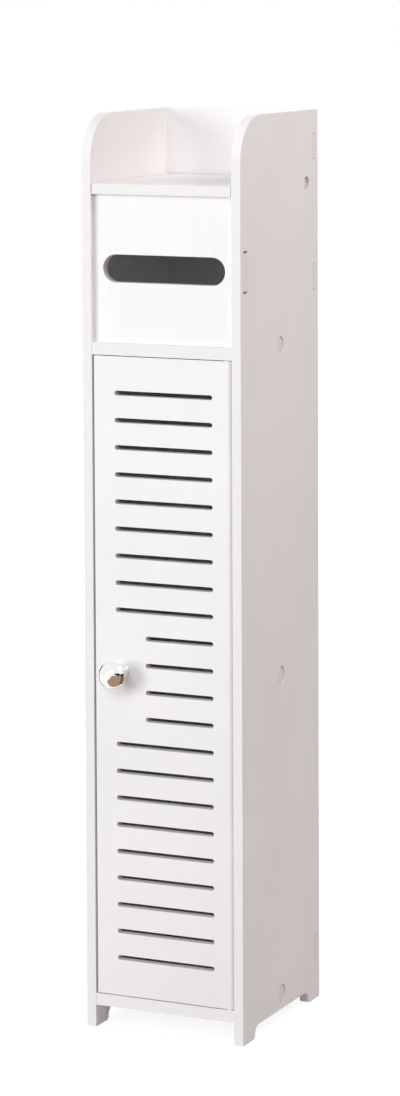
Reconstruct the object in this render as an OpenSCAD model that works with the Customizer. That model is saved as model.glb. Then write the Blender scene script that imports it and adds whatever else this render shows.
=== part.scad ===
// Narrow bathroom storage cabinet of white foamed PVC board.
//
// Two side panels, with rounded front shoulders and cut-out feet, carry a tabbed back panel, three
// shelves and a front panel with a dispensing slot. A flap lid closes the upper compartment, and
// its top is the floor of an open tray. A slatted door, hung on pivot pins at its right edge,
// closes the lower compartment. Everything is in millimetres, with X to the right, Y to the back
// and Z up. The origin is on the floor under the middle of the whole cabinet, knob included.

/* [Carcass] */
// Overall width, across both side panels
body_w = 150; // [140:1:220]
// Depth of the side panels
body_d = 166; // [150:1:240]
// Height from the floor to the shoulders
body_h = 800; // [760:5:1000]
// Thickness of a side panel
side_t = 8.5; // [7.5:0.5:12]
// Thickness of a shelf
shelf_t = 10.5; // [8:0.5:14]
// Thickness of the back panel
back_t = 8.5; // [6:0.5:12]
// Rear face of the back panel, in front of the side panels' rear edges
back_inset = 4; // [0:0.5:8]
// Front edges of the shelves and lid, behind the side panels' front edges
shelf_setback = 0.5; // [0:0.1:3]
// Radius of the rounded shoulder at the top of each side panel's front edge
shoulder_r = 41; // [15:1:55]

/* [Feet] */
// Length of each foot along the depth
foot_w = 24.5; // [15:0.5:40]
// Height of the cut-out between the feet
arch_h = 11; // [10:0.1:18]
// Radius at the top corners of the cut-out
arch_r = 8.5; // [3:0.5:8.5]
// Radius at the toe of each foot
toe_r = 3; // [1:0.1:3.2]
// Underside of the bottom shelf above the floor
floor_gap = 19.5; // [18:0.5:40]

/* [Compartments] */
// Depth of the open tray above the lid
tray_h = 59.5; // [50:0.5:90]
// Clear height of the upper compartment, from the middle shelf to the lid
upper_h = 128.5; // [110:0.5:150]
// Clear height below the inner shelf
lower_bay_h = 273; // [180:1:400]
// Front edge of the inner shelf behind the door
inner_shelf_gap = 6; // [4:0.5:20]

/* [Dispenser front] */
// Thickness of the dispenser front
front_t = 8.5; // [6:0.5:12]
// Depth of the dispenser front behind the side panels' front edges
front_recess = 6; // [4:0.5:14]
// Length of the dispensing slot
dispense_w = 115.6; // [80:0.1:120]
// Height of the dispensing slot
dispense_h = 24; // [16:0.5:40]
// Centre of the dispensing slot above the middle shelf
dispense_rise = 64.2; // [40:0.1:85]
// Length of the tab at each end, through the side panel
front_tab_l = 32.4; // [20:0.1:50]
// Clear length of the mortise beyond each end of that tab
front_tab_play = 2.4; // [0.5:0.1:4]

/* [Back panel tabs] */
// Length of each tab
back_tab_l = 22; // [12:1:40]
// Clear length of the mortise beyond each end of a tab
back_tab_play = 0.4; // [0.2:0.1:2]
// Centre of the top tabs below the shoulders
back_tab_drop = 32; // [20:1:60]
// Centre of the middle tabs above the middle shelf
back_tab_mid = 49; // [20:1:90]
// Centre of the bottom tabs above the bottom shelf
back_tab_rise = 17.5; // [12:0.5:60]
// Corner radius that the cutter leaves in a mortise
mortise_r = 2; // [0.5:0.5:3]

/* [Lid] */
// Thickness of the lid
lid_t = 9; // [8:0.5:12]
// Gap between the lid and each side panel
lid_side_gap = 0.7; // [0.4:0.1:2]
// Gap between the lid and the back panel
lid_rear_gap = 2; // [1.5:0.1:5]
// Lid axis in front of the side panels' rear edges
lid_axis_inset = 25; // [20:0.5:45]
// Journal of the lid pins, which turns in the side panel
lid_journal_d = 8; // [6:0.5:10]
// Spigot of the lid pins, held in the lid
lid_spigot_d = 5; // [3:0.5:6]
// Length of that spigot
lid_spigot_l = 16; // [8:1:30]
// Counterbore around the journal, on the outer face
lid_counterbore_d = 12; // [11:0.5:16]
// Depth of that counterbore
lid_counterbore_depth = 5.5; // [1:0.5:6]
// End of the journal below the outer face
lid_pin_sink = 1.8; // [0:0.1:2.5]

/* [Door] */
// Thickness of the door
door_t = 8; // [6:0.5:10]
// Depth of the door behind the side panels' front edges
door_recess = 1; // [0.5:0.1:3]
// Gap between the door and the left side panel
door_latch_gap = 1.8; // [1:0.1:4]
// Gap between the door and the right side panel
door_hinge_gap = 1.2; // [0.8:0.1:4]
// Gap above and below the door
door_end_gap = 0.8; // [0.6:0.1:4]
// Rounding of the door's hinge edge
door_edge_r = 3; // [1:0.1:4]
// Pin axis from the door's hinge edge
pivot_inset = 4.2; // [4:0.1:8]
// Diameter of the pivot pins
pivot_d = 5; // [3:0.5:5]
// Length of each pivot pin inside the door
pivot_in_door = 14; // [8:1:30]
// Diameter of the collar on each pivot pin
pivot_collar_d = 7.6; // [6:0.1:8]
// Thickness of the upper pin's collar, which keeps the door off the middle shelf
upper_collar_t = 0.4; // [0.2:0.1:0.4]

/* [Door slots] */
// Height of a slot
slot_h = 4.2; // [3:0.1:8]
// Length of a long slot
slot_l = 93; // [60:0.5:100]
// Length of a short slot, beside the knob
short_slot_l = 64.5; // [30:0.5:70]
// Spacing of the slots
slot_pitch = 23.6; // [14:0.1:40]
// Least distance from the top and bottom of the door to a slot's centre
slot_margin = 30; // [25:1:60]
// Middle of the rows of slots above the middle of the door
slot_lift = 0.8; // [-4:0.1:4]
// Slots' end from the door's hinge edge
slot_inset = 17.6; // [14:0.1:25]
// Number of short slots in the middle of the door
short_rows = 4; // [2:1:8]

/* [Knob] */
// Diameter of the knob's head
knob_d = 25; // [20:0.5:32]
// Reach of the knob in front of the door
knob_reach = 28; // [24:0.5:36]
// Height of the knob's foot, up to its coved neck
knob_foot_h = 2; // [1:0.1:3]
// Height of the taper from the neck out to the head's rim
knob_taper_h = 4; // [3:0.1:6]
// Height of the domed face of the head
knob_dome_h = 8.5; // [5:0.1:11]
// Radius of the head's rim
knob_rim_r = 2; // [1:0.1:3]
// Diameter of the knob's foot on the door
knob_base_d = 14.5; // [12:0.5:18]
// Least diameter of the neck
knob_neck_d = 8.4; // [7:0.1:10]
// Knob axis from the door's latch edge
knob_inset = 24.8; // [18:0.1:34]
// Knob axis above the middle of the door
knob_lift = 5.3; // [-40:0.1:40]
// Diameter of the knob's screw
knob_screw_d = 4; // [3:0.5:5]
// Length of that screw inside the knob
knob_screw_in = 12; // [6:0.5:16]

/* [Shelf fixings] */
// Diameter of the shelf screws
screw_d = 4; // [3:0.5:5]
// Length of a shelf screw inside the shelf
screw_in_shelf = 30; // [20:1:45]
// Diameter of a pan head, on the shelf and knob screws
head_d = 8; // [7:0.5:10]
// Height of that head
head_h = 2.4; // [1.5:0.1:2.5]
// Diameter of the screw caps
cap_d = 16; // [13:0.5:20]
// Depth of the pocket that holds a head and its cap
cap_pocket = 4.5; // [4.5:0.1:5]
// Outer face of a cap below the side panel's face
cap_sink = 0.8; // [0:0.1:0.8]
// Thickness of a cap
cap_t = 1; // [0.6:0.1:1]
// Room inside a cap, all round the screw's head
cap_room = 1; // [0.5:0.1:2]
// Diameter of the dowels
dowel_d = 5; // [4:0.5:6]
// Length of a dowel inside the shelf
dowel_in_shelf = 15; // [10:1:30]
// Length of a dowel inside the side panel
dowel_in_side = 4.5; // [3:0.5:5]
// Dowels in front of and behind the screw
dowel_spread = 42; // [20:1:50]

/* [Magnetic catch] */
// Width of the catch's housing
catch_w = 24; // [22:0.5:40]
// Depth of the catch
catch_d = 14; // [12:0.5:24]
// Height of the catch's housing
catch_h = 11; // [9:0.5:16]
// Length of each fixing ear
ear_l = 8; // [7:0.5:12]
// Thickness of the fixing ears
ear_t = 4; // [3:0.5:6]
// Middle of the catch from the left side panel
catch_inset = 24; // [21:0.5:50]
// Width of the magnet and its pole plates
magnet_w = 20; // [12:0.5:20]
// Thickness of the magnet
magnet_t = 3; // [2:0.5:4]
// Depth of the magnet
magnet_d = 9; // [5:0.5:10]
// Thickness of a pole plate
pole_t = 1.2; // [0.8:0.1:1.5]
// Reach of the pole plates in front of the housing
pole_reach = 0.6; // [0.2:0.1:1.5]
// Gap between the pole plates and the strike plate on the shut door
catch_gap = 0.3; // [0.2:0.1:1]
// Width of the strike plate
strike_w = 30; // [16:0.5:36]
// Height of the strike plate
strike_h = 9; // [7:0.5:10]
// Thickness of the strike plate
strike_t = 1.2; // [1:0.1:2]
// Diameter of the small countersunk screws
small_screw_d = 3; // [2.5:0.5:3.5]
// Diameter of their heads
small_head_d = 5.8; // [5:0.1:6.5]
// Length of the strike screw inside the door
strike_screw_in = 5; // [3:0.5:5]

/* [Fits] */
// Radial clearance of every pin, screw and dowel in its hole
fit_gap = 0.05; // [0.02:0.01:0.1]
// Gap between resting faces that must come apart
seat_gap = 0.2; // [0.1:0.05:0.5]
// Board left between the bottom of a blind hole and the face behind it
skin = 2; // [1.5:0.5:3]

/* [Hidden] */
$fn = 96;
// Cutters run this far past the faces they open
over = 1;

board_white = "#f7f5f5";
door_white = "#f1eff0";
plastic_white = "#eceae8";
chrome = "#d7dade";
zinc = "#b9bcc0";
magnet_grey = "#5b5c60";
beech = "#d9bf94";

// Places across the width
inner_w = body_w - 2 * side_t;
inner_x = inner_w / 2;
outer_x = body_w / 2;

// Places along the depth: half the knob's overhang centres the whole on the origin
knob_overhang = knob_reach - door_recess;
y_front = (knob_overhang - body_d) / 2;
y_back = y_front + body_d;
y_middle = (y_front + y_back) / 2;
back_y = y_back - back_inset - back_t;
board_front = y_front + shelf_setback;
front_y = y_front + front_recess;
door_y = y_front + door_recess;
door_back_y = door_y + door_t;
lid_axis_y = y_back - lid_axis_inset;

// Heights of the undersides of the boards
bottom_z = floor_gap;
inner_z = bottom_z + shelf_t + lower_bay_h;
lid_z = body_h - tray_h - lid_t;
middle_z = lid_z - upper_h - shelf_t;
shelf_levels = [bottom_z, inner_z, middle_z];
lid_axis_z = lid_z + lid_t / 2;
dispense_z = middle_z + shelf_t + dispense_rise;
back_tab_levels = [
    bottom_z + shelf_t + back_tab_rise,
    middle_z + shelf_t + back_tab_mid,
    body_h - back_tab_drop
];

// The door and what it carries
door_z = bottom_z + shelf_t + door_end_gap;
door_h = middle_z - door_end_gap - door_z;
door_left = -inner_x + door_latch_gap;
door_right = inner_x - door_hinge_gap;
door_w = door_right - door_left;
door_nose_r = min(door_edge_r, door_t / 2);
pivot_x = door_right - pivot_inset;
pivot_y = door_y + door_t / 2;
pivot_in_shelf = shelf_t - skin - seat_gap;
slot_rows = floor((door_h - 2 * (slot_margin + abs(slot_lift))) / slot_pitch) + 1;
first_short_row = floor((slot_rows - short_rows) / 2);
top_slot_z = door_z + door_h / 2 + slot_lift + slot_pitch * (slot_rows - 1) / 2;
knob_x = door_left + knob_inset;
knob_z = door_z + door_h / 2 + knob_lift;

// The catch under the middle shelf and the strike plate on the door
catch_x = -inner_x + catch_inset;
strike_back_y = door_back_y + strike_t;
pole_y = strike_back_y + catch_gap;
catch_y = pole_y + pole_reach;
catch_ear_x = catch_w / 2 + ear_l / 2;
magnet_z = middle_z - catch_h / 2;
strike_z = magnet_z;
pole_stack = magnet_t + 2 * pole_t;
small_pilot = shelf_t - skin;

// Extrudes a (Y, Z) outline to the right, from x by t
module along_x(x, t) {
    translate([x, 0, 0])
        rotate([90, 0, 90])
            linear_extrude(t)
                children();
}

// Extrudes an (X, Z) outline to the back, from y by t
module along_y(y, t) {
    translate([0, y + t, 0])
        rotate([90, 0, 0])
            linear_extrude(t)
                children();
}

// Round bar along X, from x0 to x1, on the axis given by y and z
module bar_x(d, x0, x1, y, z) {
    translate([x0, y, z])
        rotate([0, 90, 0])
            cylinder(d = d, h = x1 - x0);
}

// Round bar along Y, from y0 to y1, on the axis given by x and z
module bar_y(d, y0, y1, x, z) {
    translate([x, y0, z])
        rotate([-90, 0, 0])
            cylinder(d = d, h = y1 - y0);
}

// Round bar along Z, from z0 to z1, on the axis given by x and y
module bar_z(d, z0, z1, x, y) {
    translate([x, y, z0])
        cylinder(d = d, h = z1 - z0);
}

// The children and their mirror image in the middle plane of the cabinet
module both_sides() {
    children();
    mirror([1, 0, 0])
        children();
}

// Waste outside a rounding of radius r, for material to the upper right of the origin
module corner_waste(r) {
    difference() {
        translate([-over, -over])
            square(r + over);
        translate([r, r])
            circle(r);
    }
}

// Centred rectangle with four rounded corners
module rounded_rect(w, h, r) {
    difference() {
        square([w, h], center = true);
        for (flip_x = [0, 1], flip_y = [0, 1])
            mirror([flip_x, 0])
                mirror([0, flip_y])
                    translate([-w / 2, -h / 2])
                        corner_waste(r);
    }
}

// Centred slot with round ends, of overall length l and height h
module round_slot(l, h) {
    square([l - h, h], center = true);
    for (side = [-1, 1])
        translate([side * (l - h) / 2, 0])
            circle(d = h);
}

// Cut-out between two feet, w wide: rounded top corners and rounded toes
module foot_arch(w) {
    for (flip = [0, 1])
        mirror([flip, 0])
            translate([-w / 2, 0])
                mirror([1, 0])
                    corner_waste(toe_r);
    difference() {
        translate([-w / 2, -over])
            square([w, arch_h + over]);
        for (flip = [0, 1])
            mirror([flip, 0])
                translate([-w / 2, arch_h])
                    mirror([0, 1])
                        corner_waste(arch_r);
    }
}

// Mortise for a tab of length l and thickness t, with play beyond each end
module mortise(l, t, play) {
    rounded_rect(t, l + 2 * play, mortise_r);
}

// The back panel's tabs at one side, as round at their edges as the mortises at their corners
module back_tab_outlines() {
    for (z = back_tab_levels)
        translate([back_y + back_t / 2, z])
            rounded_rect(back_t, back_tab_l, mortise_r);
}

// Outline of a side panel, with its feet, shoulder and mortises
module side_outline() {
    difference() {
        translate([y_front, 0])
            square([body_d, body_h]);
        translate([y_front, body_h])
            mirror([0, 1])
                corner_waste(shoulder_r);
        translate([y_middle, 0])
            foot_arch(body_d - 2 * foot_w);
        translate([front_y + front_t / 2, dispense_z])
            mortise(front_tab_l, front_t, front_tab_play);
        for (z = back_tab_levels)
            translate([back_y + back_t / 2, z])
                mortise(back_tab_l, back_t, back_tab_play);
    }
}

// Right side panel: bores for the lid pin and the shelf screws, blind holes for the dowels
module side_panel() {
    difference() {
        along_x(inner_x, side_t)
            side_outline();
        bar_x(lid_journal_d + 2 * fit_gap, inner_x - over, outer_x + over, lid_axis_y, lid_axis_z);
        bar_x(lid_counterbore_d, outer_x - lid_counterbore_depth, outer_x + over,
              lid_axis_y, lid_axis_z);
        for (z = shelf_levels) {
            bar_x(screw_d + 2 * fit_gap, inner_x - over, outer_x, y_middle, z + shelf_t / 2);
            bar_x(cap_d + 2 * fit_gap, outer_x - cap_pocket, outer_x + over,
                  y_middle, z + shelf_t / 2);
            for (side = [-1, 1])
                bar_x(dowel_d + 2 * fit_gap, inner_x - over, inner_x + dowel_in_side,
                      y_middle + side * dowel_spread, z + shelf_t / 2);
        }
    }
}

// Shelf board at height z, from y0 back to the back panel, drilled for its screws and dowels
module shelf(z, y0) {
    difference() {
        translate([-inner_x, y0, z])
            cube([inner_w, back_y - y0, shelf_t]);
        both_sides() {
            bar_x(screw_d + 2 * fit_gap, inner_x - screw_in_shelf, inner_x + over,
                  y_middle, z + shelf_t / 2);
            for (side = [-1, 1])
                bar_x(dowel_d + 2 * fit_gap, inner_x - dowel_in_shelf, inner_x + over,
                      y_middle + side * dowel_spread, z + shelf_t / 2);
        }
    }
}

// Shelf screw, pan headed, at height z of the shelf's underside
module shelf_screw(z) {
    bar_x(screw_d, inner_x - screw_in_shelf, outer_x - cap_pocket, y_middle, z + shelf_t / 2);
    bar_x(head_d, outer_x - cap_pocket, outer_x - cap_pocket + head_h, y_middle, z + shelf_t / 2);
}

// Screw cap: a cup that stands on the floor of the pocket, round the screw's head
module screw_cap(z) {
    difference() {
        bar_x(cap_d, outer_x - cap_pocket, outer_x - cap_sink, y_middle, z + shelf_t / 2);
        bar_x(head_d + 2 * cap_room, outer_x - cap_pocket - over, outer_x - cap_sink - cap_t,
              y_middle, z + shelf_t / 2);
    }
}

// Pivot pin of the lid: a journal in the side panel and a spigot in the lid's edge
module lid_pin() {
    lid_edge = inner_x - lid_side_gap;
    bar_x(lid_journal_d, lid_edge, outer_x - lid_pin_sink, lid_axis_y, lid_axis_z);
    bar_x(lid_spigot_d, lid_edge - lid_spigot_l, lid_edge, lid_axis_y, lid_axis_z);
}

// Cross-section of the door, square at the latch edge and bull-nosed at the hinge edge
module door_section() {
    difference() {
        translate([door_left, door_y])
            square([door_w, door_t]);
        translate([door_right, door_y])
            mirror([1, 0])
                corner_waste(door_nose_r);
        translate([door_right, door_back_y])
            rotate(180)
                corner_waste(door_nose_r);
    }
}

// The pattern of slots: short ones beside the knob, and long ones above and below
module door_slots() {
    for (row = [0 : slot_rows - 1]) {
        is_short = row >= first_short_row && row < first_short_row + short_rows;
        length = is_short ? short_slot_l : slot_l;
        translate([door_right - slot_inset - length / 2, top_slot_z - row * slot_pitch])
            round_slot(length, slot_h);
    }
}

// Half section of the knob: foot and coved neck, tapered underside, rim and domed face
module knob_section() {
    head_r = knob_d / 2;
    foot_r = knob_base_d / 2;
    neck_r = knob_neck_d / 2;
    rim_h = knob_reach - knob_dome_h;
    cove_top = rim_h - knob_rim_r - knob_taper_h;
    // The dome is the cap of the ball that passes through the rim and the front of the knob
    ball_r = (head_r * head_r + knob_dome_h * knob_dome_h) / (2 * knob_dome_h);
    // The cove is the arc through both ends of the neck that leaves the least diameter between
    half_cove = (cove_top - knob_foot_h) / 2;
    cove_depth = foot_r - neck_r;
    cove_r = (half_cove * half_cove + cove_depth * cove_depth) / (2 * cove_depth);
    difference() {
        square([foot_r, cove_top]);
        translate([neck_r + cove_r, knob_foot_h + half_cove])
            circle(cove_r);
    }
    // The taper meets the rim at the far corner of a 3-4-5 triangle that stands on its centre
    polygon([
        [0, cove_top],
        [foot_r, cove_top],
        [head_r - knob_rim_r + knob_rim_r * 3 / 5, rim_h - knob_rim_r * 4 / 5],
        [head_r - knob_rim_r, rim_h],
        [0, rim_h]
    ]);
    intersection() {
        translate([0, knob_reach - ball_r])
            circle(ball_r);
        translate([0, rim_h - over])
            square([head_r - knob_rim_r, knob_dome_h + over]);
    }
    translate([head_r - knob_rim_r, rim_h])
        circle(knob_rim_r);
}

// Small screw with a countersunk head: axis along Z, face of the head at z = 0, shank above
module countersunk_screw(l) {
    head_drop = (small_head_d - small_screw_d) / 2;
    cylinder(d1 = small_head_d, d2 = small_screw_d, h = head_drop);
    cylinder(d = small_screw_d, h = l);
}

// The hole that a small countersunk screw of length l sits in
module countersunk_hole(l) {
    head_drop = (small_head_d - small_screw_d) / 2;
    cylinder(d1 = small_head_d + 2 * fit_gap, d2 = small_screw_d + 2 * fit_gap, h = head_drop);
    translate([0, 0, -over])
        cylinder(d = small_head_d + 2 * fit_gap, h = over);
    cylinder(d = small_screw_d + 2 * fit_gap, h = l);
}

// Places the children at both ears of the catch, on the face that meets the screws' heads
module at_catch_ears() {
    for (side = [-1, 1])
        translate([catch_x + side * catch_ear_x, catch_y + catch_d / 2, middle_z - ear_t])
            children();
}

// Places the children on the strike plate's face, with their axis towards the door
module at_strike() {
    translate([catch_x, strike_back_y, strike_z])
        rotate([90, 0, 0])
            children();
}

module left_side_panel() {
    color(board_white)
        mirror([1, 0, 0])
            side_panel();
}

module right_side_panel() {
    color(board_white)
        side_panel();
}

module back_panel() {
    color(board_white) {
        along_y(back_y, back_t)
            translate([-inner_x, bottom_z])
                square([inner_w, body_h - bottom_z]);
        both_sides()
            along_x(inner_x, side_t)
                back_tab_outlines();
    }
}

// The lower pivot pin of the door turns in this shelf
module bottom_shelf() {
    color(board_white)
        difference() {
            shelf(bottom_z, board_front);
            bar_z(pivot_d + 2 * fit_gap, bottom_z + skin, bottom_z + shelf_t + over,
                  pivot_x, pivot_y);
        }
}

module inner_shelf() {
    color(board_white)
        shelf(inner_z, door_back_y + inner_shelf_gap);
}

// The upper pivot pin of the door turns in this shelf, which also carries the catch
module middle_shelf() {
    color(board_white)
        difference() {
            shelf(middle_z, board_front);
            bar_z(pivot_d + 2 * fit_gap, middle_z - over, middle_z + shelf_t - skin,
                  pivot_x, pivot_y);
            at_catch_ears()
                countersunk_hole(ear_t + small_pilot);
        }
}

module dispenser_front() {
    color(board_white)
        along_y(front_y, front_t)
            difference() {
                union() {
                    translate([-inner_x, middle_z + shelf_t])
                        square([inner_w, upper_h - seat_gap]);
                    translate([0, dispense_z])
                        square([body_w, front_tab_l], center = true);
                }
                translate([0, dispense_z])
                    round_slot(dispense_w, dispense_h);
            }
}

module lid() {
    lid_edge = inner_x - lid_side_gap;
    color(board_white)
        difference() {
            translate([-lid_edge, board_front, lid_z])
                cube([2 * lid_edge, back_y - lid_rear_gap - board_front, lid_t]);
            both_sides()
                bar_x(lid_spigot_d + 2 * fit_gap, lid_edge - lid_spigot_l, lid_edge + over,
                      lid_axis_y, lid_axis_z);
        }
}

module lid_pivot_pins() {
    color(plastic_white)
        both_sides()
            lid_pin();
}

module door() {
    color(door_white)
        difference() {
            translate([0, 0, door_z])
                linear_extrude(door_h)
                    door_section();
            along_y(door_y - over, door_t + 2 * over)
                door_slots();
            bar_z(pivot_d + 2 * fit_gap, door_z - over, door_z + pivot_in_door, pivot_x, pivot_y);
            bar_z(pivot_d + 2 * fit_gap, door_z + door_h - pivot_in_door, door_z + door_h + over,
                  pivot_x, pivot_y);
            bar_y(knob_screw_d + 2 * fit_gap, door_y - over, door_back_y + over, knob_x, knob_z);
            at_strike()
                countersunk_hole(strike_t + strike_screw_in);
        }
}

module upper_pivot_pin() {
    top = door_z + door_h;
    color(plastic_white) {
        bar_z(pivot_d, top - pivot_in_door, middle_z + pivot_in_shelf, pivot_x, pivot_y);
        bar_z(pivot_collar_d, top, top + upper_collar_t, pivot_x, pivot_y);
    }
}

// The collar of the lower pin carries the door on the bottom shelf
module lower_pivot_pin() {
    floor_z = bottom_z + shelf_t;
    color(plastic_white) {
        bar_z(pivot_d, floor_z - pivot_in_shelf, door_z + pivot_in_door, pivot_x, pivot_y);
        bar_z(pivot_collar_d, floor_z, door_z, pivot_x, pivot_y);
    }
}

module knob() {
    color(chrome)
        difference() {
            translate([knob_x, door_y, knob_z])
                rotate([90, 0, 0])
                    rotate_extrude()
                        intersection() {
                            knob_section();
                            square([knob_d, knob_reach]);
                        }
            bar_y(knob_screw_d + 2 * fit_gap, door_y - knob_screw_in - over, door_y + over,
                  knob_x, knob_z);
        }
}

module knob_screw() {
    color(zinc) {
        bar_y(knob_screw_d, door_y - knob_screw_in, door_back_y, knob_x, knob_z);
        bar_y(head_d, door_back_y, door_back_y + head_h, knob_x, knob_z);
    }
}

module shelf_screws() {
    color(zinc)
        both_sides()
            for (z = shelf_levels)
                shelf_screw(z);
}

module screw_caps() {
    color(plastic_white)
        both_sides()
            for (z = shelf_levels)
                screw_cap(z);
}

module shelf_dowels() {
    color(beech)
        both_sides()
            for (z = shelf_levels, side = [-1, 1])
                bar_x(dowel_d, inner_x - dowel_in_shelf, inner_x + dowel_in_side,
                      y_middle + side * dowel_spread, z + shelf_t / 2);
}

module catch_housing() {
    color(plastic_white)
        difference() {
            translate([catch_x, catch_y, 0])
                union() {
                    translate([-catch_w / 2, 0, middle_z - catch_h])
                        cube([catch_w, catch_d, catch_h]);
                    translate([0, catch_d / 2, middle_z - ear_t])
                        linear_extrude(ear_t)
                            rounded_rect(catch_w + 2 * ear_l, catch_d, mortise_r);
                }
            translate([catch_x - magnet_w / 2, catch_y - over, magnet_z - pole_stack / 2])
                cube([magnet_w, magnet_d + over, pole_stack]);
            at_catch_ears()
                countersunk_hole(ear_t + over);
        }
}

module catch_magnet() {
    color(magnet_grey)
        translate([catch_x - magnet_w / 2, catch_y, magnet_z - magnet_t / 2])
            cube([magnet_w, magnet_d, magnet_t]);
}

module catch_pole_plates() {
    color(zinc)
        for (flip = [0, 1])
            translate([catch_x, pole_y, magnet_z])
                mirror([0, 0, flip])
                    translate([-magnet_w / 2, 0, magnet_t / 2])
                        cube([magnet_w, magnet_d + pole_reach, pole_t]);
}

module catch_screws() {
    color(zinc)
        at_catch_ears()
            countersunk_screw(ear_t + small_pilot - seat_gap);
}

module strike_plate() {
    color(zinc)
        difference() {
            along_y(door_back_y, strike_t)
                translate([catch_x, strike_z])
                    rounded_rect(strike_w, strike_h, mortise_r);
            at_strike()
                countersunk_hole(strike_t + over);
        }
}

module strike_screw() {
    color(zinc)
        at_strike()
            countersunk_screw(strike_t + strike_screw_in - seat_gap);
}

left_side_panel();
right_side_panel();
back_panel();
bottom_shelf();
inner_shelf();
middle_shelf();
dispenser_front();
lid();
lid_pivot_pins();
door();
upper_pivot_pin();
lower_pivot_pin();
knob();
knob_screw();
shelf_screws();
screw_caps();
shelf_dowels();
catch_housing();
catch_magnet();
catch_pole_plates();
catch_screws();
strike_plate();
strike_screw();
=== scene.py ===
"""Looks of a narrow bathroom cabinet of white foamed PVC board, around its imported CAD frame.

Every board is a softened copy of its CAD solid, with its arrises eased by the few tenths of a
millimetre that a cutter and a wipe of sandpaper leave. The knob, pins, screws, caps and dowels
are surfaces worked out with numpy. All sizes are in metres unless a name ends in _mm.
"""
import logging
import math
from dataclasses import dataclass
from enum import Enum
from typing import Any, Sequence

import bmesh
import bpy
import numpy as np
from bpy.types import ID, Material, Mesh, Node, NodeSocket, NodeTree, Object
from mathutils import Matrix, Vector


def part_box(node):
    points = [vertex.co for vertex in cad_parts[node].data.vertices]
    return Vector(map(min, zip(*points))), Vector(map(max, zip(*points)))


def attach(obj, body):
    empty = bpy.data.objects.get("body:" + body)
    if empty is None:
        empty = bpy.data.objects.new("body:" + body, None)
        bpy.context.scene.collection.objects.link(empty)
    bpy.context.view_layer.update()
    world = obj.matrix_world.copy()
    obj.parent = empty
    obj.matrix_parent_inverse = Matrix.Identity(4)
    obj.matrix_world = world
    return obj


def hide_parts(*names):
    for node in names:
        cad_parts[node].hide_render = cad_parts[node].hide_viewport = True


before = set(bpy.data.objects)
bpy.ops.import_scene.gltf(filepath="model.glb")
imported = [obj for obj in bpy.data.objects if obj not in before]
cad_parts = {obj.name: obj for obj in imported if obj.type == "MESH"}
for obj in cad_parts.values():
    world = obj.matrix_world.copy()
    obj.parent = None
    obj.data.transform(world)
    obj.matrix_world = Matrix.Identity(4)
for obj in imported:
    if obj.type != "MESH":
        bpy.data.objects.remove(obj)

LOG = logging.getLogger("cabinet")
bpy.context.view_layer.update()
MM = 0.001
TURN = 2.0 * math.pi


class Body(Enum):
    """The bodies that the pieces ride on."""

    CARCASS = "carcass"
    LID = "lid_flap"
    DOOR = "door_leaf"


class Slot(Enum):
    """The record's material slots."""

    BOARD = "pvc_board"
    DOOR = "pvc_door"
    NYLON = "white_nylon"
    CHROME = "chrome_plate"
    ZINC = "zinc_steel"
    FERRITE = "ferrite"
    BEECH = "beech"


class Axis(Enum):
    """The direction of a board's thickness, across which its moulded skin lies."""

    X = 0
    Y = 1
    Z = 2


# ----- Colours and nodes -------------------------------------------


def linear(hex_colour: str) -> tuple[float, float, float, float]:
    """Turns an sRGB hex colour into linear light.

    Args:
        hex_colour: Such as "#f7f5f5".

    Returns:
        Red, green, blue and an alpha of 1, in linear light.
    """
    parts = [int(hex_colour[i:i + 2], 16) / 255.0 for i in (1, 3, 5)]
    light = [c / 12.92 if c <= 0.04045 else ((c + 0.055) / 1.055) ** 2.4 for c in parts]
    return (light[0], light[1], light[2], 1.0)


def add_node(
    tree: NodeTree,
    kind: str,
    inputs: dict[str | int, Any] | None = None,
    **settings: Any,
) -> Node:
    """Adds a shader node with its settings and links.

    Args:
        tree: The node tree that it goes into.
        kind: The shader node's type, such as "TexNoise".
        inputs: For each input socket, by name or place, a value or the output to link to it.
        **settings: The node's own properties, such as operation="ADD".

    Returns:
        The new node.
    """
    node = tree.nodes.new("ShaderNode" + kind)
    for key, value in settings.items():
        setattr(node, key, value)
    for key, value in (inputs or {}).items():
        if isinstance(value, NodeSocket):
            tree.links.new(value, node.inputs[key])
        else:
            node.inputs[key].default_value = value
    return node


def per_metre(size_mm: float) -> float:
    """The texture scale at which one feature is size_mm across, on Object coordinates."""
    return 1000.0 / size_mm


def blank_material(name: str) -> tuple[Material, NodeTree]:
    """Makes a material whose node tree is empty.

    Args:
        name: The material's name.

    Returns:
        The material and its node tree.
    """
    material = bpy.data.materials.new(name)
    material.use_nodes = True
    tree = material.node_tree
    tree.nodes.clear()
    return material, tree


# ----- Finishes ----------------------------------------------------


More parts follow.
